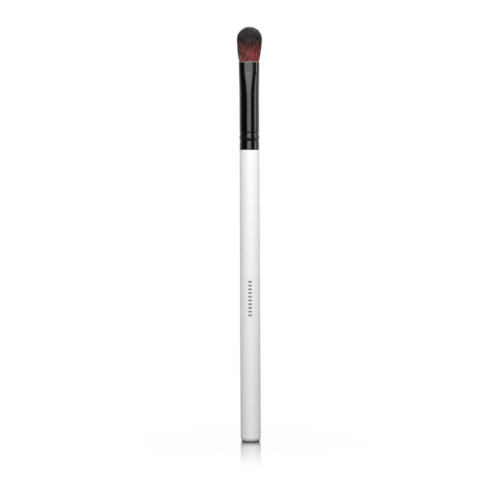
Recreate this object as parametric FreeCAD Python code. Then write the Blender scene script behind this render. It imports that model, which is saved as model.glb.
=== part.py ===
import FreeCAD, Part
import math
import os

# Eyeshadow brush standing on its butt, in millimetres. +Z runs up the handle to the fibres,
# +X runs across the wide face of the tuft, and one wide face looks along -Y.

# Handle
handle_length = 119.7  # butt to the lower edge of the ferrule
shank_diameter = 8.3  # lower, parallel part
parallel_length = 40.0  # the handle tapers above this height
ferrule_proud = 0.025  # how far the ferrule stands outside the handle's shoulder
butt_round_height = 1.9
butt_round_inset = 0.85
lacquer_thickness = 0.2
shoulder_round = 0.12

# Tenon, the turned end of the handle inside the ferrule
tenon_past_crimps = 1.1  # plain end above the upper crimp
glue_film = 0.1  # between tenon and ferrule
glue_cap = 0.3  # glue pushed over the end of the tenon

# Ferrule, a round tube flattened towards its mouth
ferrule_diameter = 8.05
ferrule_wall = 0.4
round_length = 20.8  # part that stays round
flattening_length = 10.5  # from round to the crease
mouth_length = 4.75  # from the crease to the mouth
crease_width = 8.35
mouth_width = 8.5
mouth_thickness = 6.0
mouth_face_radius = 9.0  # gentle curve left in the flattened faces
lip_round = 0.3

# Two crimped grooves that hold the tenon, with a bead raised between them. Heights are above
# the lower edge of the ferrule, and runs lead from the plain tube to the bottom of a groove.
lower_crimp_height = 3.25
lower_crimp_run = 0.35
bead_height = 5.2
upper_crimp_height = 6.9
upper_crimp_run = 0.55
crimp_depth = 0.12
bead_rise = 0.07

# Knot: fibre roots bound with thread and set in resin
fibre_fit = 0.03  # between the roots and the bore
root_swell = 0.8  # length over which the bound roots open to the bore
thread_diameter = 0.35
thread_turns = 3
thread_pitch = 0.8
thread_fit = 0.03  # on either side of the thread
thread_margin = 0.2  # bare waist above and below the thread
resin_pocket_depth = 2.0  # roots sunk into the resin
resin_pocket_wall = 0.45
resin_gap = 0.4  # air left between the resin and the glued tenon

# Tuft, the free fibres above the mouth. Spreads and swells are added to the mouth's opening.
neck_spread = 1.38  # in width, at the flex axis
neck_swell = 0.46  # in thickness
swell_height = 5.5  # thickest level
full_swell = 0.96
belly_height = 8.85  # widest level, where the dome starts
belly_spread = 2.77
belly_swell = 0.26
dome_height = 5.4
dome_angles = (12, 30, 50, 68, 82)  # degrees up the dome
tip_thinning = 0.35  # share of thickness lost from the belly to the tip
tip_fullness = 0.7  # below 1 the tip's edge is blunter

# Flexing of the tuft, taken at one axis across its neck
knuckle_lift = 0.25  # running gap between the roots and the rounded end of the tuft
knuckle_margin = 0.05  # how far the knuckle's round stands outside the neck

# Heights
mouth_height = handle_length + round_length + flattening_length + mouth_length
crease_height = mouth_height - mouth_length
round_top = handle_length + round_length
tenon_top = handle_length + upper_crimp_height + upper_crimp_run + tenon_past_crimps

# Tuft's width and thickness at its main levels
opening_width = mouth_width - 2 * (ferrule_wall + fibre_fit)
opening_thickness = mouth_thickness - 2 * (ferrule_wall + fibre_fit)
neck_width = opening_width + neck_spread
neck_thickness = opening_thickness + neck_swell
swell_thickness = opening_thickness + full_swell
belly_width = opening_width + belly_spread
belly_thickness = opening_thickness + belly_swell
knuckle_radius = neck_thickness / 2 + knuckle_margin
flex_height = knuckle_lift + knuckle_radius  # above the mouth

# Radii
bore_radius = ferrule_diameter / 2 - ferrule_wall
tenon_radius = bore_radius - glue_film
root_radius = bore_radius - fibre_fit
waist_radius = bore_radius - thread_diameter - 2 * thread_fit
root_end_radius = bore_radius - resin_pocket_wall


def at(x, y, z):
    return FreeCAD.Vector(x, y, z)


def line(start, end):
    return Part.LineSegment(at(start[0], 0, start[1]), at(end[0], 0, end[1])).toShape()


def arc(start, through, end):
    points = [at(radius, 0, height) for radius, height in (start, through, end)]
    return Part.Arc(*points).toShape()


def turned(edges):
    """Solid of revolution about Z from edges drawn as (radius, height)."""
    face = Part.Face(Part.Wire(edges))
    return face.revolve(at(0, 0, 0), at(0, 0, 1), 360)


def polygon(points):
    return [line(start, end) for start, end in zip(points, points[1:] + points[:1])]


def handle_outline(depth):
    """Edges of the handle's side from butt to shoulder, at a depth below the lacquer's surface."""
    shank = shank_diameter / 2
    neck = ferrule_diameter / 2 - ferrule_proud
    # The butt's round touches the parallel shank and ends on the flat end
    butt_radius = (butt_round_inset**2 + butt_round_height**2) / (2 * butt_round_inset)
    centre = (shank - butt_radius, butt_round_height)
    radius = butt_radius - depth
    low = math.asin((butt_round_height - depth) / radius)
    foot = (centre[0] + radius * math.cos(low), depth)
    middle = (centre[0] + radius * math.cos(low / 2), centre[1] - radius * math.sin(low / 2))
    side = (shank - depth, butt_round_height)
    waist = (shank - depth, parallel_length)
    if depth > 0:
        top = (neck - depth, handle_length)
        return foot, top, [arc(foot, middle, side), line(side, waist), line(waist, top)]
    edge_round = min(shoulder_round, lacquer_thickness * 3 / 4)
    edge = (neck, handle_length - edge_round)
    top = (neck - edge_round, handle_length)
    slant = edge_round * math.sqrt(0.5)
    round_middle = (top[0] + slant, edge[1] + slant)
    shoulder = arc(edge, round_middle, top)
    return foot, top, [arc(foot, middle, side), line(side, waist), line(waist, edge), shoulder]


def eased(start, end):
    """Two arcs up a turned side that run upright at both ends, as a rolled groove does."""
    across, up = end[0] - start[0], end[1] - start[1]
    middle = (start[0] + across / 2, start[1] + up / 2)
    lean = math.atan2(across, up)
    sag = math.hypot(across, up) / 4 * math.tan(lean / 2)
    aside, above = across / 4 - sag * math.cos(lean), up / 4 + sag * math.sin(lean)
    first = (start[0] + aside, start[1] + above)
    second = (end[0] - aside, end[1] - above)
    return [arc(start, first, middle), arc(middle, second, end)]


def crimped_side(inset):
    """Edges up the round part of the ferrule, shrunk by inset, from its lower edge to tenon_top."""
    radius = ferrule_diameter / 2 - inset
    groove = radius - crimp_depth
    lower = handle_length + lower_crimp_height
    upper = handle_length + upper_crimp_height
    turns = [
        (radius, lower - lower_crimp_run),
        (groove, lower),
        (radius + bead_rise, handle_length + bead_height),
        (groove, upper),
        (radius, upper + upper_crimp_run),
    ]
    edges = [line((radius, handle_length), turns[0])]
    for low, high in zip(turns, turns[1:]):
        edges += eased(low, high)
    return edges + [line(turns[-1], (radius, tenon_top))]


def oval_corner(half_width, half_thickness, face_radius):
    """Point where a flat face's arc meets the end's arc, and the surface's turn there."""
    ends = 2 * face_radius * half_thickness - half_width**2 - half_thickness**2
    end_radius = ends / (2 * (face_radius - half_width))
    turn = math.atan2(half_width - end_radius, face_radius - half_thickness)
    x = face_radius * math.sin(turn)
    y = face_radius * math.cos(turn) - (face_radius - half_thickness)
    return x, y, turn


def four_arcs(x, y, half_width, half_thickness, z):
    """Closed wire of two face arcs and two end arcs that meet at the corners (+-x, +-y)."""
    corners = [at(-x, -y, z), at(x, -y, z), at(x, y, z), at(-x, y, z)]
    front, back = at(0, -half_thickness, z), at(0, half_thickness, z)
    middles = [front, at(half_width, 0, z), back, at(-half_width, 0, z)]
    edges = []
    for index, middle in enumerate(middles):
        edges.append(Part.Arc(corners[index], middle, corners[(index + 1) % 4]).toShape())
    return Part.Wire(edges)


def oval(half_width, half_thickness, z, face_radius):
    x, y, _ = oval_corner(half_width, half_thickness, face_radius)
    return four_arcs(x, y, half_width, half_thickness, z)


def round_section(inset):
    """Top of the round part, its circle divided where the flattened faces will begin."""
    radius = ferrule_diameter / 2 - inset
    _, _, turn = oval_corner(crease_width / 2, mouth_thickness / 2, mouth_face_radius)
    return four_arcs(radius * math.sin(turn), radius * math.cos(turn), radius, radius, round_top)


def flat_section(width, inset, z):
    return oval(width / 2 - inset, mouth_thickness / 2 - inset, z, mouth_face_radius - inset)


def flattened_length(inset):
    """Solid inside the ferrule's outer surface shrunk by inset, from the round part to the mouth."""
    sections = [
        round_section(inset),
        flat_section(crease_width, inset, crease_height),
        flat_section(mouth_width, inset, mouth_height),
    ]
    spans = [Part.makeLoft([low, high], True, True) for low, high in zip(sections, sections[1:])]
    return spans[0].fuse(spans[1])


def ferrule_solid(inset):
    """Whole inside of the ferrule's outer surface shrunk by inset."""
    radius = ferrule_diameter / 2 - inset
    side = crimped_side(inset)
    start = (radius, handle_length)
    top = (radius, round_top)
    ends = [
        line((radius, tenon_top), top),
        line(top, (0, round_top)),
        line((0, round_top), (0, handle_length)),
        line((0, handle_length), start),
    ]
    return turned(side + ends).fuse(flattened_length(inset))


def make_ferrule():
    tube = ferrule_solid(0).cut(ferrule_solid(ferrule_wall))
    mouth_rim = max(tube.Faces, key=lambda face: face.CenterOfMass.z)
    return tube.makeFillet(min(lip_round, ferrule_wall * 3 / 4), mouth_rim.OuterWire.Edges)


def make_handle_core():
    foot, top, side = handle_outline(lacquer_thickness)
    tenon_foot = (tenon_radius, handle_length)
    crimped = crimped_side(ferrule_wall + glue_film)
    ends = [
        line((tenon_radius, tenon_top), (0, tenon_top)),
        line((0, tenon_top), (0, lacquer_thickness)),
        line((0, lacquer_thickness), foot),
    ]
    return turned(side + [line(top, tenon_foot)] + crimped + ends)


def make_handle_lacquer():
    outer_foot, outer_top, outer_side = handle_outline(0)
    inner_foot, inner_top, inner_side = handle_outline(lacquer_thickness)
    ends = [
        line(outer_top, inner_top),
        line(inner_foot, (0, lacquer_thickness)),
        line((0, lacquer_thickness), (0, 0)),
        line((0, 0), outer_foot),
    ]
    return turned(outer_side + ends[:1] + inner_side[::-1] + ends[1:])


def make_tenon_glue():
    cap_top = tenon_top + glue_cap
    ends = [
        line((bore_radius, tenon_top), (bore_radius, cap_top)),
        line((bore_radius, cap_top), (0, cap_top)),
        line((0, cap_top), (0, tenon_top)),
        line((0, tenon_top), (tenon_radius, tenon_top)),
    ]
    inner = crimped_side(ferrule_wall + glue_film)[::-1]
    foot = line((tenon_radius, handle_length), (bore_radius, handle_length))
    return turned(crimped_side(ferrule_wall) + ends + inner + [foot])


def knot_levels():
    """Heights of the roots' lower end and of the bound waist's bottom and top."""
    waist_top = round_top - root_swell
    waist_bottom = waist_top - thread_turns * thread_pitch - thread_diameter - 2 * thread_margin
    return waist_bottom - resin_pocket_depth, waist_bottom, waist_top


def make_knot_resin():
    root_bottom, resin_top, _ = knot_levels()
    resin_bottom = tenon_top + glue_cap + resin_gap
    outline = [
        (0, resin_bottom),
        (bore_radius, resin_bottom),
        (bore_radius, resin_top),
        (root_end_radius, resin_top),
        (root_end_radius, root_bottom),
        (0, root_bottom),
    ]
    return turned(polygon(outline))


def make_fibre_roots():
    root_bottom, waist_bottom, waist_top = knot_levels()
    outline = [
        (0, root_bottom),
        (root_end_radius, root_bottom),
        (root_end_radius, waist_bottom),
        (waist_radius, waist_bottom),
        (waist_radius, waist_top),
        (root_radius, round_top),
        (0, round_top),
    ]
    return turned(polygon(outline)).fuse(flattened_length(ferrule_wall + fibre_fit))


def biarc(start, start_way, end, end_way):
    """Two tangent arcs between two points with given directions."""
    chord = end - start
    ways = start_way + end_way
    spread = 2 * (1 - start_way.dot(end_way))
    across = chord.dot(ways)
    reach = (math.sqrt(across**2 + spread * chord.dot(chord)) - across) / spread
    first_corner = start + start_way * reach
    second_corner = end - end_way * reach
    joint = (first_corner + second_corner) * 0.5
    arcs = []
    for begin, corner, finish in ((start, first_corner, joint), (joint, second_corner, end)):
        middle = (begin + finish) * 0.5
        half = (finish - begin).Length / 2
        rise = corner - middle
        turn = math.atan2(rise.Length, half)
        rise.normalize()
        arcs.append(Part.Arc(begin, middle + rise * (half * math.tan(turn / 2)), finish))
    return arcs


def make_binding_thread():
    """One thread wound round the waist as a helix, in biarcs of a quarter turn."""
    _, waist_bottom, _ = knot_levels()
    radius = waist_radius + thread_fit + thread_diameter / 2
    base = waist_bottom + thread_margin + thread_diameter / 2

    def point(turn):
        angle = 2 * math.pi * turn
        return at(radius * math.cos(angle), radius * math.sin(angle), base + thread_pitch * turn)

    def way(turn):
        angle = 2 * math.pi * turn
        direction = at(-math.sin(angle), math.cos(angle), thread_pitch / (2 * math.pi * radius))
        return direction.normalize()

    arcs = []
    for quarter in range(4 * thread_turns):
        turn = quarter / 4
        arcs += biarc(point(turn), way(turn), point(turn + 0.25), way(turn + 0.25))
    path = Part.Wire([piece.toShape() for piece in arcs])
    section = Part.Wire(Part.makeCircle(thread_diameter / 2, point(0), way(0)))

    samples = 48  # per turn
    points = [point(index / samples) for index in range(samples * thread_turns + 1)]
    least = min(
        (a - b).Length for index, a in enumerate(points) for b in points[index + samples // 2 :]
    )
    print(f"binding thread: least gap to itself {least - thread_diameter:.3f} mm")
    return path.makePipeShell([section], True, False)


def tuft_section(width, thickness, height):
    """Oval of the tuft at a height above the mouth, its faces as round as an ellipse's."""
    face_radius = width**2 / (2 * thickness)
    return oval(width / 2, thickness / 2, mouth_height + height, face_radius)


def fan_section(height):
    """Section of the tuft between its thickest level and its belly, where the fibres stand upright."""
    up = (height - flex_height) / (belly_height - flex_height)
    opened = (up + math.sin(up * math.pi / 2)) / 2
    past_swell = (height - swell_height) / (belly_height - swell_height)
    width = neck_width + opened * (belly_width - neck_width)
    thickness = swell_thickness + past_swell**2 * (belly_thickness - swell_thickness)
    return tuft_section(width, thickness, height)


def dome_section(angle):
    """Section of the dome at an angle up from the belly."""
    thinning = math.cos(angle) ** tip_fullness * (1 - tip_thinning * math.sin(angle))
    width = belly_width * math.cos(angle)
    return tuft_section(width, belly_thickness * thinning, belly_height + dome_height * math.sin(angle))


def make_fibre_tuft():
    tip = Part.Vertex(at(0, 0, mouth_height + belly_height + dome_height))
    belly = fan_section(belly_height)
    fan = [
        tuft_section(opening_width, opening_thickness, 0),
        tuft_section(neck_width, neck_thickness, flex_height),
        fan_section(swell_height),
        fan_section((swell_height + belly_height) / 2),
        belly,
    ]
    dome = [belly] + [dome_section(math.radians(degrees)) for degrees in dome_angles] + [tip]
    form = Part.makeLoft(fan, True, False).fuse(Part.makeLoft(dome, True, False))

    # Below the flex axis only what lies in the knuckle's round is left
    pivot = mouth_height + flex_height
    reach = belly_width
    depth = 2 * flex_height
    knuckle = Part.makeCylinder(knuckle_radius, 2 * reach, at(-reach, 0, pivot), at(1, 0, 0))
    below = Part.makeBox(2 * reach, 2 * reach, depth, at(-reach, -reach, pivot - depth))
    return form.cut(below.cut(knuckle))


def only_solid(shape):
    assert len(shape.Solids) == 1, "a piece must be one solid"
    solid = shape.Solids[0]
    assert solid.isValid(), "a piece must be a valid solid"
    return solid


pieces = {
    "handle_core": make_handle_core,
    "handle_lacquer": make_handle_lacquer,
    "ferrule": make_ferrule,
    "tenon_glue": make_tenon_glue,
    "knot_resin": make_knot_resin,
    "binding_thread": make_binding_thread,
    "fibre_roots": make_fibre_roots,
    "fibre_tuft": make_fibre_tuft,
}

os.makedirs("parts", exist_ok=True)
for name, make in pieces.items():
    solid = only_solid(make())
    solid.exportStep(f"parts/{name}.step")
    print(f"{name}: {solid.Volume:.2f} mm3, {len(solid.Faces)} faces")
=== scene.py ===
import bpy
import math
import numpy as np
from mathutils import Matrix, Vector


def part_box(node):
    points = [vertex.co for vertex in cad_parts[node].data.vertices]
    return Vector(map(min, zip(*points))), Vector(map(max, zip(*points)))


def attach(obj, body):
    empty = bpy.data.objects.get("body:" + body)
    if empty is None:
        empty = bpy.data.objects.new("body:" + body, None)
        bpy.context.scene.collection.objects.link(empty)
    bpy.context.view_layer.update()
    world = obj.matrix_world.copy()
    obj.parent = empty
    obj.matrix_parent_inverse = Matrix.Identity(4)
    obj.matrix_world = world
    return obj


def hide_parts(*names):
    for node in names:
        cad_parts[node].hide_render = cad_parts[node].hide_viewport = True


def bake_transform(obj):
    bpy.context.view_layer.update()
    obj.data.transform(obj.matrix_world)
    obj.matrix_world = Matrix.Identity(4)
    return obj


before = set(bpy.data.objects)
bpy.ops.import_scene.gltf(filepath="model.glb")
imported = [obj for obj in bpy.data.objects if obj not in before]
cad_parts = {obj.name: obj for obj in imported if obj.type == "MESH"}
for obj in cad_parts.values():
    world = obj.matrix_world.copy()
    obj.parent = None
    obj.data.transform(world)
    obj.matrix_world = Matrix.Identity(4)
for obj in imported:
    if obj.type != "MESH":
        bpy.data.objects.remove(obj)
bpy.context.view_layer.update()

# Eyeshadow brush standing on its butt, in metres: +Z up the handle, one wide face of the tuft towards -Y.
MM = 0.001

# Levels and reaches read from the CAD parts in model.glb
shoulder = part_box("handle_lacquer")[1].z
shank_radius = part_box("handle_lacquer")[1].x
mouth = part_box("ferrule")[1].z
mouth_half_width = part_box("ferrule")[1].x
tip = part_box("fibre_tuft")[1].z
belly_half_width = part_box("fibre_tuft")[1].x
swell_half_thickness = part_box("fibre_tuft")[1].y
root_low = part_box("fibre_roots")[0].z

# Handle
parallel_length = 40 * MM
butt_round_height = 1.9 * MM
butt_round_inset = 0.85 * MM
lacquer_thickness = 0.2 * MM
ferrule_proud = 0.025 * MM
shoulder_round = 0.12 * MM
handle_sides = 128

# Wear at the butt, and painted shade at its foot, from where each starts down to where it is full
scuff_top = 2.4 * MM
scuff_full = 0.1 * MM
# Painted shade: the lowest part of the butt darkened, and a dark line where it meets the table
foot_shade_top = 1.7 * MM
contact_shade_top = 0.42 * MM
contact_shade_full = 0.08 * MM

# Printed ticks on the handle's front
ticks_low = 51.5 * MM
tick_count = 10
tick_pitch = 1.52 * MM
tick_height = 0.7 * MM
tick_width = 1.5 * MM
ink_edge = 0.06 * MM

# Ferrule
ferrule_radius = 4.025 * MM
ferrule_wall = 0.4 * MM
round_top = shoulder + 20.8 * MM
crease = mouth - 4.75 * MM
crease_half_width = 4.175 * MM
crease_step = 0.1 * MM
crease_lead = 3 * MM
crease_land = 0.55 * MM
mouth_half_thickness = 3.0 * MM
mouth_face_radius = 9 * MM
flattening_ease = 1.8
lip_round = 0.34 * MM
# Depth of the painted highlight band at the lip
lip_band_depth = 0.65 * MM
rim_round = 0.12 * MM
bore_edge = 0.1 * MM
lower_crimp = shoulder + 3.25 * MM
lower_crimp_run = 0.35 * MM
bead_crown = shoulder + 5.2 * MM
upper_crimp = shoulder + 6.9 * MM
upper_crimp_run = 0.55 * MM
crimp_depth = 0.12 * MM
bead_rise = 0.07 * MM
bead_rub_start = 0.03 * MM
bead_rub_fade = 0.2 * MM

# Tuft, measured up from the mouth
tuft_length = tip - mouth
fibre_fit = 0.03 * MM
neck_height = 3.1 * MM
neck_half_width = 4.51 * MM
neck_half_thickness = 2.8 * MM
flare_ease = 0.4
swell_height = 5.5 * MM
belly_height = 8.85 * MM
belly_half_thickness = 2.7 * MM
tip_thinning = 0.35
tip_fullness = 0.7
tip_narrowing = 0.05
upright_half_thickness = 1.85 * MM
tuft_lean = 0.26 * MM
proud_share = 0.025

# Fibres
fibre_count = 3400
lock_count = 420
outer_share = 0.72
place_jitter = 0.004
fibre_radius = 0.055 * MM
fibre_taper = 0.72
root_depth = 1.2 * MM
uneven_tips = 0.2 * MM
lock_trim = 0.16 * MM
stray_lean = 0.1 * MM
ripple_height = 0.035 * MM
gathered_share = 0.8

# Root bundle in the ferrule
waist_length = 3.15 * MM
waist_drop = 0.8 * MM
waist_draw = 0.41 * MM
end_draw = 0.42 * MM
bundle_clearance = 0.01 * MM
flute_depth = 0.05 * MM

# Table
table_radius = 150 * MM
table_sides = 96
polish_end = 70 * MM
shade_reach = 6 * MM
contact_reach = 1.2 * MM


# Shader trees


def grey(level):
    return (level, level, level, 1)


class Shade:
    """A shader socket for Python expressions. Each operator adds one Math node."""

    def __init__(self, tree, socket):
        self.tree = tree
        self.socket = socket

    def __add__(self, other):
        return self.tree.math("ADD", self, other)

    def __sub__(self, other):
        return self.tree.math("SUBTRACT", self, other)

    def __rsub__(self, other):
        return self.tree.math("SUBTRACT", other, self)

    def __mul__(self, other):
        return self.tree.math("MULTIPLY", self, other)

    __radd__ = __add__
    __rmul__ = __mul__


class Tree:
    """A node tree, the one method that adds a node to it, and short forms for the nodes used most."""

    def __init__(self, owner):
        owner.use_nodes = True
        self.owner = owner
        self.tree = owner.node_tree

    def node(self, kind, settings={}, sockets={}, output=0):
        made = self.tree.nodes.new(kind)
        for name, value in settings.items():
            if name == "stops":
                self.set_stops(made.color_ramp, value)
            else:
                setattr(made, name, value)
        for key, value in sockets.items():
            self.feed(made.inputs[key], value)
        return Shade(self, made.outputs[output])

    def set_stops(self, ramp, stops):
        while len(ramp.elements) < len(stops):
            ramp.elements.new(1)
        for element, (position, colour) in zip(ramp.elements, stops):
            element.position = position
            element.color = (*colour, 1)

    def feed(self, socket, value):
        if isinstance(value, Shade):
            self.tree.links.new(value.socket, socket)
        else:
            socket.default_value = value

    def math(self, operation, first, second):
        return self.node("ShaderNodeMath", {"operation": operation}, {0: first, 1: second})

    def mix(self, factor, first, second):
        """Colour between two colours."""
        settings = {"data_type": "RGBA", "clamp_factor": True}
        return self.node("ShaderNodeMix", settings, {0: factor, 6: first, 7: second}, output=2)

    def place(self):
        return self.node("ShaderNodeTexCoord", output="Object")

    def stretched(self, scale):
        """The place with each axis multiplied, so that a pattern runs along one of them."""
        settings = {"operation": "MULTIPLY"}
        return self.node("ShaderNodeVectorMath", settings, {0: self.place(), 1: scale})

    def length(self, vector):
        return self.node("ShaderNodeVectorMath", {"operation": "LENGTH"}, {0: vector}, output="Value")

    def axis(self, vector, name):
        return self.node("ShaderNodeSeparateXYZ", {}, {0: vector}, output=name)

    def height(self):
        return self.axis(self.place(), "Z")

    def attribute(self, name):
        return self.node("ShaderNodeAttribute", {"attribute_name": name}, output="Fac")

    def ray(self, kind):
        return self.node("ShaderNodeLightPath", output=kind)

    def noise(self, vector, scale, detail=2, roughness=0.5):
        sockets = {"Vector": vector, "Scale": scale, "Detail": detail, "Roughness": roughness}
        return self.node("ShaderNodeTexNoise", {}, sockets)

    def range(self, value, low, high):
        """0 below low, 1 above high, smooth between them. With low above high it falls instead."""
        settings = {"interpolation_type": "SMOOTHSTEP"}
        return self.node("ShaderNodeMapRange", settings, {0: value, 1: low, 2: high})

    def bump(self, height, distance, under=None):
        sockets = {"Height": height, "Distance": distance, "Strength": 1}
        if under:
            sockets["Normal"] = under
        return self.node("ShaderNodeBump", {}, sockets)


class Finish(Tree):
    """A material around one Principled shader."""

    def __init__(self, name, **constants):
        super().__init__(bpy.data.materials.new(name))
        self.shader = self.tree.nodes["Principled BSDF"]
        self.set(**constants)

    def surface(self):
        return Shade(self, self.shader.outputs["BSDF"])

    def set(self, **sockets):
        for name, value in sockets.items():
            self.feed(self.shader.inputs[name.replace("_", " ")], value)


# Finishes


def white_lacquer():
    """Sprayed white gloss over wood: faint orange peel, hand smudges, a scuffed butt, and painted shade
    darkening the butt's foot and its contact line.
    """
    finish = Finish("white_lacquer", IOR=1.5)
    place = finish.place()
    smudge = finish.noise(place, 190, 5, 0.6)
    cloud = finish.noise(place, 45, 2)
    grain = finish.noise(finish.stretched((900, 900, 45)), 1, 3)
    peel = finish.noise(place, 900, 2)
    low = finish.range(finish.height(), scuff_top, scuff_full)
    scuff = finish.range(finish.noise(place, 1500, 4, 0.7), 0.56, 0.68) * low
    # Painted shade: a dark line at the butt's contact with the table, and a fainter darkening up the
    # rounded foot
    painted_contact_shade = finish.range(finish.height(), contact_shade_top, contact_shade_full) * 0.92
    painted_foot_shade = finish.range(finish.height(), foot_shade_top, 0) * 0.42
    white = finish.mix(cloud, (0.832, 0.814, 0.822, 1), (0.806, 0.788, 0.792, 1))
    white = finish.mix(grain * 0.12, white, (0.7, 0.69, 0.67, 1))
    marked = finish.mix(tick_row(finish) * 0.85, white, (0.09, 0.09, 0.095, 1))
    colour = finish.mix(scuff * 0.45, marked, (0.42, 0.4, 0.37, 1))
    # Painted shade at the butt's foot
    colour = finish.mix(finish.math("MAXIMUM", painted_contact_shade, painted_foot_shade), colour, (0.06, 0.058, 0.056, 1))
    waves = finish.bump(cloud, 12e-6)
    finish.set(
        Base_Color=colour,
        Roughness=0.38 + smudge * 0.14 + scuff * 0.25,
        Normal=finish.bump(peel + grain * 0.5, 5e-6, waves),
    )
    return finish.owner


def tick_row(finish):
    """Plain row of short printed ticks down the front of the handle."""
    x = finish.axis(finish.place(), "X")
    y = finish.axis(finish.place(), "Y")
    up = finish.height() - ticks_low
    side = finish.math("ABSOLUTE", x, 0)
    beat = finish.math("PINGPONG", up, tick_pitch / 2)
    bar_start = tick_pitch / 2 - tick_height / 2
    row_end = tick_count * tick_pitch
    across = finish.range(side, tick_width / 2, tick_width / 2 - ink_edge)
    bar = finish.range(beat, bar_start - ink_edge, bar_start)
    span = finish.range(up, -ink_edge, 0) * finish.range(up, row_end, row_end - ink_edge)
    front = finish.range(y, 0, -ink_edge)
    return across * bar * span * front


def black_ferrule():
    """Gloss black aluminium: lines drawn along the tube, fine scratches, a rubbed bead, and at the lip a
    painted highlight, pink from the fibres' reflection, over a little rub.
    """
    finish = Finish("black_ferrule", IOR=1.5, Specular_Tint=(1, 0.95, 0.965, 1))
    place = finish.place()
    drawn = finish.noise(finish.stretched((9000, 9000, 60)), 1, 2)
    haze = finish.noise(place, 350, 4, 0.6)
    speckle = finish.range(finish.noise(place, 2200, 3, 0.7), 0.5, 0.66)
    reach = finish.length(finish.stretched((1, 1, 0)))
    bead = finish.range(reach, ferrule_radius + bead_rub_start, ferrule_radius + bead_rise)
    bead = bead * finish.range(finish.height(), upper_crimp, upper_crimp - bead_rub_fade)
    rub = bead * 0.5 * speckle
    # Painted highlight: a pale pink band round the rolled lip, with the fibres' red reflection in it,
    # varied a little by rub
    lip_highlight_and_rub = finish.range(finish.height(), mouth - lip_band_depth, mouth - lip_band_depth * 0.5)
    lip_highlight_and_rub = lip_highlight_and_rub * (0.75 + speckle * 0.25)
    black = finish.mix(haze, (0.0018, 0.0018, 0.002, 1), (0.0035, 0.0034, 0.0036, 1))
    colour = finish.mix(rub * 0.35, black, (0.12, 0.118, 0.116, 1))
    finish.set(
        Base_Color=finish.mix(lip_highlight_and_rub, colour, (0.21, 0.115, 0.12, 1)),
        Roughness=0.11 + haze * 0.07 + drawn * 0.03 + rub * 0.2 + lip_highlight_and_rub * 0.25,
        Normal=finish.bump(drawn, 1.2e-6),
    )
    return finish.owner


def dyed_fibre():
    """Synthetic fibre dip-dyed red at the root and dark grey at the tip, each strand a little different,
    with painted shade browner towards -X, painted sheen and shade in streaks along the fibres, and a
    painted highlight at the very tips.
    """
    finish = Finish("dyed_fibre", IOR=1.5, Specular_IOR_Level=0.16)
    rise = finish.attribute("rise")
    tone = finish.attribute("tone")
    dye = finish.attribute("dye")
    brown = finish.attribute("brown")
    stops = [
        (0.0, (0.5, 0.105, 0.1)),
        (0.14, (0.48, 0.076, 0.074)),
        (0.25, (0.36, 0.05, 0.051)),
        (0.36, (0.215, 0.034, 0.035)),
        (0.45, (0.145, 0.03, 0.031)),
        (0.53, (0.078, 0.024, 0.024)),
        (0.62, (0.018, 0.011, 0.012)),
        (0.76, (0.02, 0.0155, 0.018)),
        # The top stops lighten the very tips from dark grey to pale grey: a painted highlight where the
        # dome catches the light
        (0.86, (0.066, 0.06, 0.063)),
        (1.0, (0.24, 0.23, 0.235)),
    ]
    dipped = finish.node("ShaderNodeValToRGB", {"stops": stops}, {0: rise + dye})
    upper = finish.range(rise, 0.22, 0.42)
    # Painted shade: a dark brown that the fibres take on towards -X, more in the red part
    shade_brown = finish.mix(upper, (0.21, 0.1, 0.072, 1), (0.085, 0.036, 0.03, 1))
    dipped = finish.mix(brown * finish.range(rise, 0.62, 0.42) * 0.8, dipped, shade_brown)
    greying = finish.range(rise, 0.38, 0.58)
    # Painted shade towards near black and painted sheen towards pale grey, chosen between by each fibre's
    # tone
    shaded_dye = finish.mix(0.8 + greying * 0.16, dipped, (0.004, 0.003, 0.003, 1))
    pale = finish.mix(0.02 + greying * 0.075, dipped, (0.5, 0.44, 0.43, 1))
    finish.set(
        Base_Color=finish.mix(tone, shaded_dye, pale),
        Roughness=0.34 + tone * 0.14,
    )
    return finish.owner


def birch_wood():
    """Plain turned birch with long fine grain and short pores."""
    finish = Finish("birch_wood", IOR=1.45)
    grain = finish.noise(finish.stretched((700, 700, 12)), 1, 4, 0.6)
    pores = finish.range(finish.noise(finish.stretched((5200, 5200, 260)), 1, 2), 0.6, 0.72)
    light = finish.mix(grain, (0.7, 0.53, 0.35, 1), (0.5, 0.34, 0.2, 1))
    finish.set(
        Base_Color=finish.mix(pores * 0.5, light, (0.26, 0.16, 0.09, 1)),
        Roughness=0.58 + grain * 0.2,
        Normal=finish.bump(grain - pores * 0.4, 20e-6),
    )
    return finish.owner


def set_drops(name, clear, cloudy, roughness):
    """Set glue or resin: cloudy patches, small bubbles and an uneven skin."""
    finish = Finish(name, IOR=1.52)
    place = finish.place()
    patches = finish.noise(place, 420, 4, 0.6)
    bubbles = finish.node("ShaderNodeTexVoronoi", {}, {"Vector": place, "Scale": 2400})
    spots = finish.range(bubbles, 0.22, 0.1)
    colour = finish.mix(patches, clear, cloudy)
    finish.set(
        Base_Color=finish.mix(spots * 0.5, colour, (0.85, 0.8, 0.7, 1)),
        Roughness=roughness + patches * 0.2,
        Normal=finish.bump(patches + spots * 0.3, 15e-6),
    )
    return finish.owner


def winding_thread():
    """Twisted cotton thread: slanting plies and a little fuzz in the colour."""
    finish = Finish("winding_thread", IOR=1.45, Sheen_Weight=0.3)
    sockets = {"Vector": finish.place(), "Scale": 2600, "Distortion": 1.5, "Detail": 2}
    ply = finish.node("ShaderNodeTexWave", {"bands_direction": "DIAGONAL"}, sockets)
    fuzz = finish.noise(finish.place(), 6000, 3)
    colour = finish.mix(ply, (0.5, 0.47, 0.41, 1), (0.8, 0.78, 0.71, 1))
    finish.set(
        Base_Color=finish.mix(fuzz * 0.3, colour, (0.9, 0.88, 0.82, 1)),
        Roughness=0.75 + fuzz * 0.2,
        Normal=finish.bump(ply + fuzz * 0.4, 25e-6),
    )
    return finish.owner


# Meshes


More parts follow.
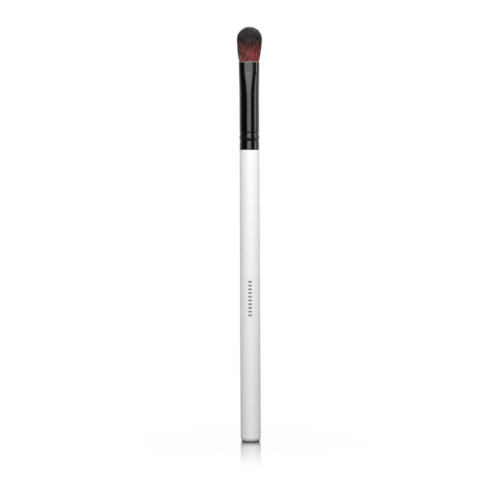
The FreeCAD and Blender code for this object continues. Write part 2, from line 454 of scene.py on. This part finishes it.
def add_piece(name, points, faces, material):
    mesh = bpy.data.meshes.new(name)
    mesh.from_pydata(np.asarray(points).reshape(-1, 3).tolist(), [], faces)
    mesh.polygons.foreach_set("use_smooth", [True] * len(mesh.polygons))
    mesh.materials.append(material)
    mesh.update()
    piece = bpy.data.objects.new(name, mesh)
    bpy.context.scene.collection.objects.link(piece)
    return piece


def skin_faces(rings, sides, looped):
    """Quads between successive rings of equal length, joined last to first if looped."""
    spans = rings if looped else rings - 1
    faces = []
    for ring in range(spans):
        low, high = ring * sides, (ring + 1) % rings * sides
        for side in range(sides):
            other = (side + 1) % sides
            faces.append((low + side, low + other, high + other, high + side))
    return faces


def capped_faces(rings, sides):
    """Quads between successive rings, and a flat cap on the first and the last."""
    first_cap = tuple(range(sides))[::-1]
    last_cap = tuple((rings - 1) * sides + side for side in range(sides))
    return skin_faces(rings, sides, False) + [first_cap, last_cap]


def arc_steps(low, high, steps):
    return [low + (high - low) * step / steps for step in range(steps + 1)]


def smooth(value):
    value = np.clip(value, 0, 1)
    return value * value * (3 - 2 * value)


# Handle


def handle_radius(height):
    """Radius of the lacquered handle above its rounded butt."""
    neck = ferrule_radius - ferrule_proud
    taper = max(0, height - parallel_length) / (shoulder - parallel_length)
    return shank_radius + (neck - shank_radius) * taper


def handle_profile(depth):
    """(radius, height) up the handle's side at a depth below the lacquer, from the butt's flat end."""
    round_radius = (butt_round_inset**2 + butt_round_height**2) / (2 * butt_round_inset)
    centre = shank_radius - round_radius
    radius = round_radius - depth
    lowest = math.asin((butt_round_height - depth) / radius)
    points = []
    for angle in arc_steps(lowest, 0, 14):
        points.append((centre + radius * math.cos(angle), butt_round_height - radius * math.sin(angle)))
    for height in arc_steps(butt_round_height, shoulder - shoulder_round, 40)[1:]:
        points.append((handle_radius(height) - depth, height))
    return points


def make_handle(material):
    """The lacquer coat: outside, flat butt, rounded shoulder, and the inside that lies on the wood."""
    outside = handle_profile(0)
    foot = outside[0][0]
    flat = [(foot * share, 0) for share in (0.04, 0.3, 0.6, 0.9, 0.985)]
    neck = outside[-1][0] - shoulder_round
    rounded = []
    for angle in arc_steps(0, math.pi / 2, 6)[1:]:
        reach = neck + shoulder_round * math.cos(angle)
        rounded.append((reach, shoulder - shoulder_round + shoulder_round * math.sin(angle)))
    inside = handle_profile(lacquer_thickness)
    inside.append((inside[-1][0], shoulder))
    inner_flat = [(inside[0][0] * share, lacquer_thickness) for share in (0.6, 0.04)]
    profile = flat + outside + rounded + inside[::-1] + inner_flat
    points = []
    for radius, height in profile:
        for side in range(handle_sides):
            angle = 2 * math.pi * side / handle_sides
            points.append((radius * math.cos(angle), radius * math.sin(angle), height))
    faces = capped_faces(len(profile), handle_sides)
    return add_piece("handle_coat", points, faces, material)


# Ferrule


def oval_frame(half_width):
    """End arc's centre and radius, and the surface's turn where the face's arc meets it."""
    thickness = mouth_half_thickness
    ends = 2 * mouth_face_radius * thickness - half_width**2 - thickness**2
    end_radius = ends / (2 * (mouth_face_radius - half_width))
    turn = math.atan2(half_width - end_radius, mouth_face_radius - thickness)
    return half_width - end_radius, end_radius, turn


def oval_points(half_width, turns):
    """Points of the flattened section where its surface faces each of the given turns from -Y."""
    end_centre, end_radius, corner = oval_frame(half_width)
    face_centre = mouth_face_radius - mouth_half_thickness
    points = []
    for turn in turns:
        facing = math.atan2(math.sin(turn), math.cos(turn))
        outward = np.array((math.sin(facing), -math.cos(facing)))
        on_face = abs(facing) < corner or abs(facing) > math.pi - corner
        side = 1 if abs(facing) < math.pi / 2 else -1
        if on_face:
            point = np.array((0, side * face_centre)) + mouth_face_radius * outward
        else:
            point = np.array((math.copysign(end_centre, facing), 0)) + end_radius * outward
        points.append(point)
    return np.array(points)


def ferrule_turns():
    """Facing angles round the ferrule, as many on the flat faces as their width needs."""
    corner = oval_frame(crease_half_width)[2]
    turns = []
    for face in (0, math.pi):
        turns += arc_steps(face - corner, face + corner, 24)[:-1]
        turns += arc_steps(face + corner, face + math.pi - corner, 64)[:-1]
    return turns


def outward_ways(turns):
    return np.array([(math.sin(turn), -math.cos(turn)) for turn in turns])


def crimp_offset(height):
    """How far the round part stands in or out at the crimps and the bead."""
    bends = [
        (lower_crimp - lower_crimp_run, 0),
        (lower_crimp, -crimp_depth),
        (bead_crown, bead_rise),
        (upper_crimp, -crimp_depth),
        (upper_crimp + upper_crimp_run, 0),
    ]
    for (low, start), (high, end) in zip(bends, bends[1:]):
        if low <= height < high:
            return start + (end - start) * smooth((height - low) / (high - low))
    return 0


def crease_offset(height):
    """How far the flat faces stand out below the crease, where the press has stepped them in."""
    foot = crease - crease_land
    if height <= foot:
        return crease_step * smooth((height - foot) / crease_lead + 1)
    return crease_step * max(0, crease - height) / crease_land


def ferrule_ring(height, inset, turns):
    """One ring of the ferrule, moved in from its outer surface by inset."""
    outward = outward_ways(turns)
    if height <= round_top:
        flat = (ferrule_radius + crimp_offset(height)) * outward
    elif height <= crease:
        share = ((height - round_top) / (crease - round_top)) ** flattening_ease
        flat = (1 - share) * ferrule_radius * outward + share * oval_points(crease_half_width, turns)
    else:
        share = (height - crease) / (mouth - crease)
        width = crease_half_width + share * (mouth_half_width - crease_half_width)
        flat = oval_points(width, turns)
    stepped = crease_offset(height) * outward[:, 1:] ** 2
    flat = flat + (stepped - inset) * outward
    return np.column_stack((flat, np.full(len(turns), height)))


def make_ferrule(material):
    """The tube as one closed wall: outside with crimps, bead and crease, rolled lip, bore."""
    turns = ferrule_turns()
    crimps_low, crimps_high = lower_crimp - lower_crimp_run, upper_crimp + upper_crimp_run
    plain = arc_steps(shoulder + rim_round, crimps_low, 4)[1:]
    crimped = arc_steps(crimps_low, crimps_high, 96)[1:]
    tube = arc_steps(crimps_high, round_top, 10)[1:]
    flattening = arc_steps(round_top, crease - crease_land, 40)[1:]
    step = arc_steps(crease - crease_land, crease, 8)[1:]
    mouthpiece = arc_steps(crease, mouth - lip_round, 10)[1:]
    stations = []
    for angle in arc_steps(math.pi / 2, 0, 4):
        stations.append((shoulder + rim_round * (1 - math.sin(angle)), rim_round * (1 - math.cos(angle))))
    stations += [(height, 0) for height in plain + crimped + tube + flattening + step + mouthpiece]
    for angle in arc_steps(0, math.pi / 2, 8)[1:]:
        stations.append((mouth - lip_round * (1 - math.sin(angle)), lip_round * (1 - math.cos(angle))))
    bore = [shoulder] + plain[::2] + crimped[::4] + tube[::3] + flattening[::4] + mouthpiece
    bore = sorted(set(bore + [mouth - bore_edge, mouth]), reverse=True)
    stations += [(height, ferrule_wall) for height in bore]
    rings = [ferrule_ring(height, inset, turns) for height, inset in stations]
    faces = skin_faces(len(rings), len(turns), True)
    return add_piece("ferrule_tube", rings, faces, material)


# Tuft


def tuft_half_sizes(rise):
    """Half width and half thickness of the whole tuft at a rise above the mouth."""
    opening = mouth_half_width - ferrule_wall - fibre_fit
    thin = mouth_half_thickness - ferrule_wall - fibre_fit
    up = np.clip((rise - neck_height) / (belly_height - neck_height), 0, 1)
    opened = (up + np.sin(up * np.pi / 2)) / 2
    flare = np.clip(rise / neck_height, 0, 1) ** flare_ease
    width = opening + flare * (neck_half_width - opening) + opened * (belly_half_width - neck_half_width)
    swelling = np.clip((rise - neck_height) / (swell_height - neck_height), 0, 1)
    thick = thin + flare * (neck_half_thickness - thin)
    thick = thick + swelling * (swell_half_thickness - neck_half_thickness)
    past = np.clip((rise - swell_height) / (belly_height - swell_height), 0, 1)
    thick = thick - past**2 * (swell_half_thickness - belly_half_thickness)
    climb = np.clip((rise - belly_height) / (tuft_length - belly_height), 0, 1)
    level = np.sqrt(1 - climb**2)
    return width * level, thick * level**tip_fullness * (1 - tip_thinning * climb)


def fibre_reach(rise):
    """Half sizes of the sheaf that the fibres follow, which narrows less than the tuft does."""
    width, thick = tuft_half_sizes(np.minimum(rise, belly_height))
    climb = np.clip((rise - belly_height) / (tuft_length - belly_height), 0, 1)
    drawn = smooth((rise - swell_height) / (tuft_length - swell_height))
    upright = swell_half_thickness + drawn * (upright_half_thickness - swell_half_thickness)
    width = width * (1 - tip_narrowing * climb**2)
    return width * fullness(rise), np.where(rise < swell_height, thick, upright)


def fullness(rise):
    """Outer fibres stand a little proud once they are clear of the lip."""
    return 1 + proud_share * smooth(rise / neck_height)


def tip_rises(u, v):
    """Rise at which each fibre leaves the tuft's surface."""
    rises = np.linspace(swell_height, tuft_length, 240)
    width, thick = tuft_half_sizes(rises)
    reach_x, reach_y = fibre_reach(rises)
    width, thick = np.maximum(width, 1e-9), np.maximum(thick, 1e-9)
    spread = (u[:, None] * reach_x / width) ** 2 + (v[:, None] * reach_y / thick) ** 2
    return rises[np.argmax(spread >= 1, axis=1)]


def spiral(count):
    """Evenly spread places in the unit circle, as in a sunflower."""
    index = np.arange(count)
    radius = np.sqrt((index + 0.5) / count)
    angle = index * math.pi * (3 - math.sqrt(5))
    return radius * np.cos(angle), radius * np.sin(angle)


def make_locks(count, random):
    """Locks that the fibres gather into, some tight and some loose. Each has its own level of dye, its own
    trim, and a beat of painted sheen and shade that makes it lighter and darker along its length."""
    radius, angle = np.sqrt(random.uniform(0, 1, count)), random.uniform(0, 2 * np.pi, count)
    return {
        "u": radius * np.cos(angle),
        "v": radius * np.sin(angle),
        "pull": random.uniform(0.2, 0.6, count),
        "beat": random.uniform(0, 2 * np.pi, count),
        "stretch": random.uniform(2.5 * MM, 7 * MM, count),
        "dye": random.normal(0, 0.04, count),
        "trim": random.normal(0, lock_trim, count),
    }


def fibre_rises(ends, upper_steps):
    """Rises of the points along each fibre: close together at the mouth, then evenly up to its end."""
    low = np.array((-root_depth, -0.1 * MM, 0.15 * MM, 0.6 * MM, 1.5 * MM))
    low = np.broadcast_to(low, (len(ends), len(low)))
    steps = np.linspace(0, 1, upper_steps + 1)
    return np.concatenate((low, neck_height + (ends - neck_height)[:, None] * steps), axis=1)


def fibre_paths(u, v, upper_steps, lock, random):
    """Points along each fibre: x, y, rise above the mouth, and share of the fibre's free length."""
    count = len(u)
    ends = tip_rises(u, v) - np.abs(random.normal(0, uneven_tips, count)) - np.abs(lock["trim"])
    rise = fibre_rises(ends, upper_steps)
    along = np.clip(rise / ends[:, None], 0, 1)
    reach_x, reach_y = fibre_reach(np.maximum(rise, 0))
    free = smooth(rise / tuft_length)
    gather = lock["pull"][:, None] * smooth(rise / (gathered_share * tuft_length))
    lean_x = random.normal(0, stray_lean, count)[:, None] * free
    lean_y = random.normal(0, stray_lean, count)[:, None] * free
    phase = random.uniform(0, 2 * np.pi, (2, count))[:, :, None]
    ripple = ripple_height * free
    drawn_u = u[:, None] + gather * (lock["u"] - u)[:, None]
    drawn_v = v[:, None] + gather * (lock["v"] - v)[:, None]
    x = drawn_u * reach_x + lean_x + tuft_lean * free + ripple * np.sin(9 * along + phase[0])
    y = drawn_v * reach_y + lean_y + ripple * np.sin(8 * along + phase[1])
    return x, y, rise, along


def fibre_tubes(x, y, rise, thick, sides):
    """Rings of points round each fibre's path, and the quads and end caps that join them."""
    count, rings = rise.shape
    turn = 2 * np.pi * np.arange(sides) / sides
    points = np.empty((count, rings, sides, 3))
    points[..., 0] = x[..., None] + thick[..., None] * np.cos(turn)
    points[..., 1] = y[..., None] + thick[..., None] * np.sin(turn)
    points[..., 2] = mouth + rise[..., None]
    first = np.arange(count)[:, None, None] * rings * sides
    ring, side = np.arange(rings - 1)[:, None] * sides, np.arange(sides)
    other = (side + 1) % sides
    quads = np.stack((ring + side, ring + other, ring + sides + other, ring + sides + side), axis=-1)
    quads = (first[..., None] + quads).reshape(-1, 4)
    start_caps = first[:, 0] + side[::-1]
    end_caps = first[:, 0] + (rings - 1) * sides + side
    return points, quads.tolist() + start_caps.tolist() + end_caps.tolist()


def grow_fibres(name, u, v, sides, upper_steps, locks, material, random):
    """Separate tapered fibres, one for each place (u, v) in the unit circle, as one mesh."""
    nearest = np.argmin(np.hypot(u[:, None] - locks["u"], v[:, None] - locks["v"]), axis=1)
    lock = {key: values[nearest] for key, values in locks.items()}
    x, y, rise, along = fibre_paths(u, v, upper_steps, lock, random)
    thick = fibre_radius * random.uniform(0.82, 1.15, len(u))[:, None]
    thick = thick * (1 - fibre_taper * smooth((along - 0.5) / 0.5))
    points, faces = fibre_tubes(x, y, rise, thick, sides)
    piece = add_piece(name, points, faces, material)
    lay_fibre_map(piece, *rise.shape, sides)
    dye_fibres(piece, u, rise, sides, lock, random)
    return piece


def dye_fibres(piece, u, rise, sides, lock, random):
    """Gives every point its fibre's rise, its tone, which carries painted sheen and shade along the fibre,
    its dye, and its share of painted side shade, brown and darker, which grows towards -X.
    """
    count, rings = rise.shape
    beat = lock["beat"][:, None] + 2 * np.pi * rise / lock["stretch"][:, None]
    # Painted sheen and shade: lighter and darker along each fibre with its lock's beat, plus random tone
    # per fibre
    tone = 0.5 + 0.5 * np.tanh(2 * np.sin(beat)) + random.normal(0, 0.1, count)[:, None]
    dye = lock["dye"] + random.normal(0, 0.045, count)
    # Painted side shade, growing towards -X, with a random share per fibre
    brown = np.clip(smooth((0.15 - u) / 0.8) + random.normal(0, 0.18, count), 0, 1)
    set_values(piece, "rise", np.repeat(rise / tuft_length, sides, axis=1))
    set_values(piece, "tone", np.repeat(np.clip(tone, 0, 1), sides, axis=1))
    set_values(piece, "dye", np.repeat(dye, rings * sides))
    set_values(piece, "brown", np.repeat(brown, rings * sides))


def set_values(piece, name, values):
    attribute = piece.data.attributes.new(name, "FLOAT", "POINT")
    attribute.data.foreach_set("value", np.ascontiguousarray(values, dtype=np.float32).ravel())


def lay_fibre_map(piece, count, rings, sides):
    """Gives every fibre a cell of its own on the bake's map, its caps in the cell's top strip."""
    segments = rings - 1
    columns = math.ceil(math.sqrt(count))
    corner = np.stack((np.arange(count) % columns, np.arange(count) // columns), axis=1)
    side, ring = np.meshgrid(np.arange(sides), np.arange(segments))
    steps = np.array(((0, 0), (1, 0), (1, 1), (0, 1)))
    quad_u = 0.06 + 0.88 * (side[..., None] + steps[:, 0]) / sides
    quad_v = 0.04 + 0.8 * (ring[..., None] + steps[:, 1]) / segments
    quads = corner[:, None, :] + np.stack((quad_u, quad_v), axis=-1).reshape(1, -1, 2)
    turn = 2 * np.pi * np.arange(sides) / sides
    disc = 0.045 * np.stack((np.cos(turn), np.sin(turn)), axis=1)
    start_caps = corner[:, None, :] + np.array((0.25, 0.92)) + disc[None, ::-1]
    end_caps = corner[:, None, :] + np.array((0.75, 0.92)) + disc[None]
    places = np.concatenate([part.reshape(-1, 2) for part in (quads, start_caps, end_caps)]) / columns
    layer = piece.data.uv_layers.new(name="OFBake")
    layer.data.foreach_set("uv", places.astype(np.float32).ravel())


def make_tuft(material):
    """Fibres on a sunflower spiral over the section, the outer ones finer made than the inner ones."""
    random = np.random.default_rng(7)
    locks = make_locks(lock_count, random)
    u, v = spiral(fibre_count)
    outer = np.hypot(u, v) > outer_share
    u = u + random.normal(0, place_jitter, fibre_count)
    v = v + random.normal(0, place_jitter, fibre_count)
    over = np.maximum(1, np.hypot(u, v))
    u, v = u / over, v / over
    inner_fibres = grow_fibres("tuft_inner_fibres", u[~outer], v[~outer], 4, 4, locks, material, random)
    outer_fibres = grow_fibres("tuft_outer_fibres", u[outer], v[outer], 5, 6, locks, material, random)
    return inner_fibres, outer_fibres


def make_root_bundle(material):
    """The fibres' roots packed in the ferrule: a fluted bundle bound at the waist, flat at both ends."""
    random = np.random.default_rng(11)
    turns = ferrule_turns()
    sides = len(turns)
    gap = ferrule_wall + fibre_fit
    waist_top = round_top - waist_drop
    waist_low = waist_top - waist_length
    stations = [
        (root_low, gap + end_draw),
        (waist_low, gap + end_draw),
        (waist_low, gap + waist_draw),
        (waist_top, gap + waist_draw),
        (round_top, gap),
    ]
    stations += [(height, gap) for height in arc_steps(round_top, crease, 6)[1:]]
    stations.append((mouth - root_depth, gap))
    outward = np.column_stack((outward_ways(turns), np.zeros(sides)))
    flutes = flute_depth * (0.5 + 0.5 * np.cos(np.arange(sides) * math.pi))
    rings = []
    for height, inset in stations:
        rings.append(ferrule_ring(height, inset + bundle_clearance, turns) - flutes[:, None] * outward)
    faces = capped_faces(len(rings), sides)
    piece = add_piece("root_bundle", rings, faces, material)
    set_values(piece, "rise", np.zeros(len(rings) * sides))
    set_values(piece, "tone", np.tile(random.uniform(0, 1, sides), len(rings)))
    set_values(piece, "dye", np.zeros(len(rings) * sides))
    set_values(piece, "brown", np.zeros(len(rings) * sides))
    return piece


# Studio


def around(azimuth, distance, height):
    """Place at an angle round the brush from the camera's side, positive to the right."""
    angle = math.radians(azimuth)
    return (distance * math.sin(angle), -distance * math.cos(angle), height)


def seen_directly(tree):
    """1 where the camera sees a thing, straight or in gloss or glass, and 0 where it only gives light."""
    shown = tree.math("MAXIMUM", tree.ray("Is Camera Ray"), tree.ray("Is Glossy Ray"))
    shown = tree.math("MAXIMUM", shown, tree.ray("Is Transmission Ray"))
    return shown * tree.math("LESS_THAN", tree.ray("Diffuse Depth"), 0.5)


def shadow(finish, reach, dark, light):
    """0 where the brush covers the table within reach, rising to 1 in the open."""
    open_sky = finish.node("ShaderNodeAmbientOcclusion", {"samples": 8}, {"Distance": reach}, output="AO")
    return finish.range(open_sky, dark, light)


def make_floor():
    """Round white table, polished round the brush so that it mirrors the butt, plain white further out."""
    rim = [2 * math.pi * side / table_sides for side in range(table_sides)]
    points = [(table_radius * math.cos(angle), table_radius * math.sin(angle), 0) for angle in rim]
    finish = Finish("white_table", IOR=1.45)
    away = finish.length(finish.place())
    cloud = finish.noise(finish.place(), 6, 2)
    pale = finish.mix(cloud, grey(0.96), grey(0.95))
    pale = finish.mix(shadow(finish, contact_reach, 0.4, 0.95), grey(0.06), pale)
    finish.set(
        Base_Color=finish.mix(seen_directly(finish), grey(0.29), pale),
        Metallic=finish.range(away, polish_end * 1.2, polish_end),
        Roughness=0,
    )
    lit = finish.mix(shadow(finish, shade_reach, 0.2, 0.9), grey(0.75), grey(1))
    white = finish.node("ShaderNodeEmission", {}, {"Color": lit, "Strength": 1})
    fade = (away - shank_radius) * (1 / (polish_end - shank_radius))
    bare = 1 - finish.math("MINIMUM", finish.math("MAXIMUM", fade, 0), 1)
    plain = (1 - finish.math("POWER", bare, 1.4)) * seen_directly(finish)
    shown = finish.node("ShaderNodeMixShader", {}, {0: plain, 1: finish.surface(), 2: white})
    finish.feed(finish.tree.nodes["Material Output"].inputs["Surface"], shown)
    floor = add_piece("white_table", points, [tuple(range(len(points)))], finish.owner)


def make_surround():
    """White to the camera and in the table's sharp mirror, white backdrop behind the brush in gloss,
    dim room elsewhere, even fill."""
    world = bpy.data.worlds.new("studio")
    bpy.context.scene.world = world
    tree = Tree(world)
    way = tree.node("ShaderNodeTexCoord", output="Generated")
    sockets = {0: way, 1: around(170, 1, 0)}
    towards = tree.node("ShaderNodeVectorMath", {"operation": "DOT_PRODUCT"}, sockets, output="Value")
    backdrop = tree.range(towards, -0.25, 0.5)
    below = tree.range(tree.axis(way, "Z"), -0.14, -0.3)
    gloss = tree.mix(tree.math("MAXIMUM", backdrop, below * 0.1), grey(0.004), grey(1))
    light = tree.mix(seen_directly(tree), grey(0.34), gloss)
    white = tree.math("MAXIMUM", tree.ray("Is Camera Ray"), tree.ray("Is Singular Ray"))
    tree.feed(tree.tree.nodes["Background"].inputs["Color"], tree.mix(white, light, grey(1)))


def softbox(name, place, size, radiance, target, fading=0.25, top_gain=0):
    """Lamp behind a cloth that fades to its edges and may be brighter towards its top. It shows in gloss
    but not to the camera."""
    lamp = bpy.data.lights.new(name, "AREA")
    tree = Tree(lamp)
    cloth = tree.node("ShaderNodeNewGeometry", output="Parametric")
    across, up = tree.axis(cloth, "X"), tree.axis(cloth, "Y")
    glow = 1 + (up - 0.5) * top_gain
    for share in (across, up):
        off = tree.math("ABSOLUTE", share - 0.5, 0)
        glow = glow * tree.range(off, 0.5, 0.5 - fading)
    tree.feed(tree.tree.nodes["Emission"].inputs["Strength"], glow)
    lamp.shape = "RECTANGLE"
    lamp.size, lamp.size_y = size
    lamp.energy = radiance * math.pi * size[0] * size[1]
    box = bpy.data.objects.new(name, lamp)
    box.location = place
    facing = Vector(target) - Vector(place)
    box.rotation_euler = facing.to_track_quat("-Z", "Y").to_euler()
    box.visible_camera = False
    bpy.context.scene.collection.objects.link(box)
    return box


def light_studio():
    make_surround()
    make_floor()
    panel_target, strip_target = (0, 0, 0.205), (0, 0, 0.14)
    softbox("front_panel", around(-3, 0.34, 0.205), (0.326, 0.335), 3.9, panel_target, 0.18, top_gain=0.6)
    softbox("high_front", (-0.02, -0.38, 0.52), (0.4, 0.2), 6.6, (0, 0, 0.1))
    softbox("right_strip", around(72, 0.12, 0.14), (0.05, 0.08), 3.4, strip_target, 0.1)
    softbox("top_softbox", (0, -0.05, 0.55), (0.4, 0.4), 1.0, (0, -0.02, 0))
    back = softbox("back_fill", around(180, 0.6, 0.3), (0.4, 0.5), 6.2, (0, 0, 0.08))
    back.visible_glossy = False


def place_camera():
    """Long lens level with the ferrule's foot, looking a little down, tilted a quarter of a degree."""
    camera = bpy.data.cameras.new("camera")
    camera.lens = 140.22
    camera.sensor_width = 36
    stand = bpy.data.objects.new("camera", camera)
    place = Vector((0.0001, -0.797, 0.12))
    target = Vector((0.000048, 0, 0.07876))
    turn = (target - place).to_track_quat("-Z", "Y").to_matrix().to_4x4()
    tilt = Matrix.Rotation(math.radians(-0.25), 4, "Z")
    stand.matrix_world = Matrix.Translation(place) @ turn @ tilt
    bpy.context.scene.collection.objects.link(stand)
    bpy.context.scene.camera = stand


# Assembly

lacquer, metal, fibre = white_lacquer(), black_ferrule(), dyed_fibre()

handle = make_handle(lacquer)
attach(handle, "handle")
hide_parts("handle_lacquer")

ferrule = make_ferrule(metal)
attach(ferrule, "handle")
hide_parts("ferrule")

roots = make_root_bundle(fibre)
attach(roots, "handle")
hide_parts("fibre_roots")

inner_fibres, outer_fibres = make_tuft(fibre)
for sheaf in (inner_fibres, outer_fibres):
    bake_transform(sheaf)
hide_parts("fibre_tuft")

hidden = {
    "handle_core": birch_wood(),
    "tenon_glue": set_drops("wood_glue", (0.82, 0.74, 0.54, 1), (0.7, 0.6, 0.4, 1), 0.35),
    "knot_resin": set_drops("amber_resin", (0.5, 0.27, 0.07, 1), (0.62, 0.4, 0.16, 1), 0.15),
    "binding_thread": winding_thread(),
}
for node, material in hidden.items():
    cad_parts[node].data.materials.clear()
    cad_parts[node].data.materials.append(material)

light_studio()
place_camera()
bpy.context.scene.view_settings.view_transform = "Standard"
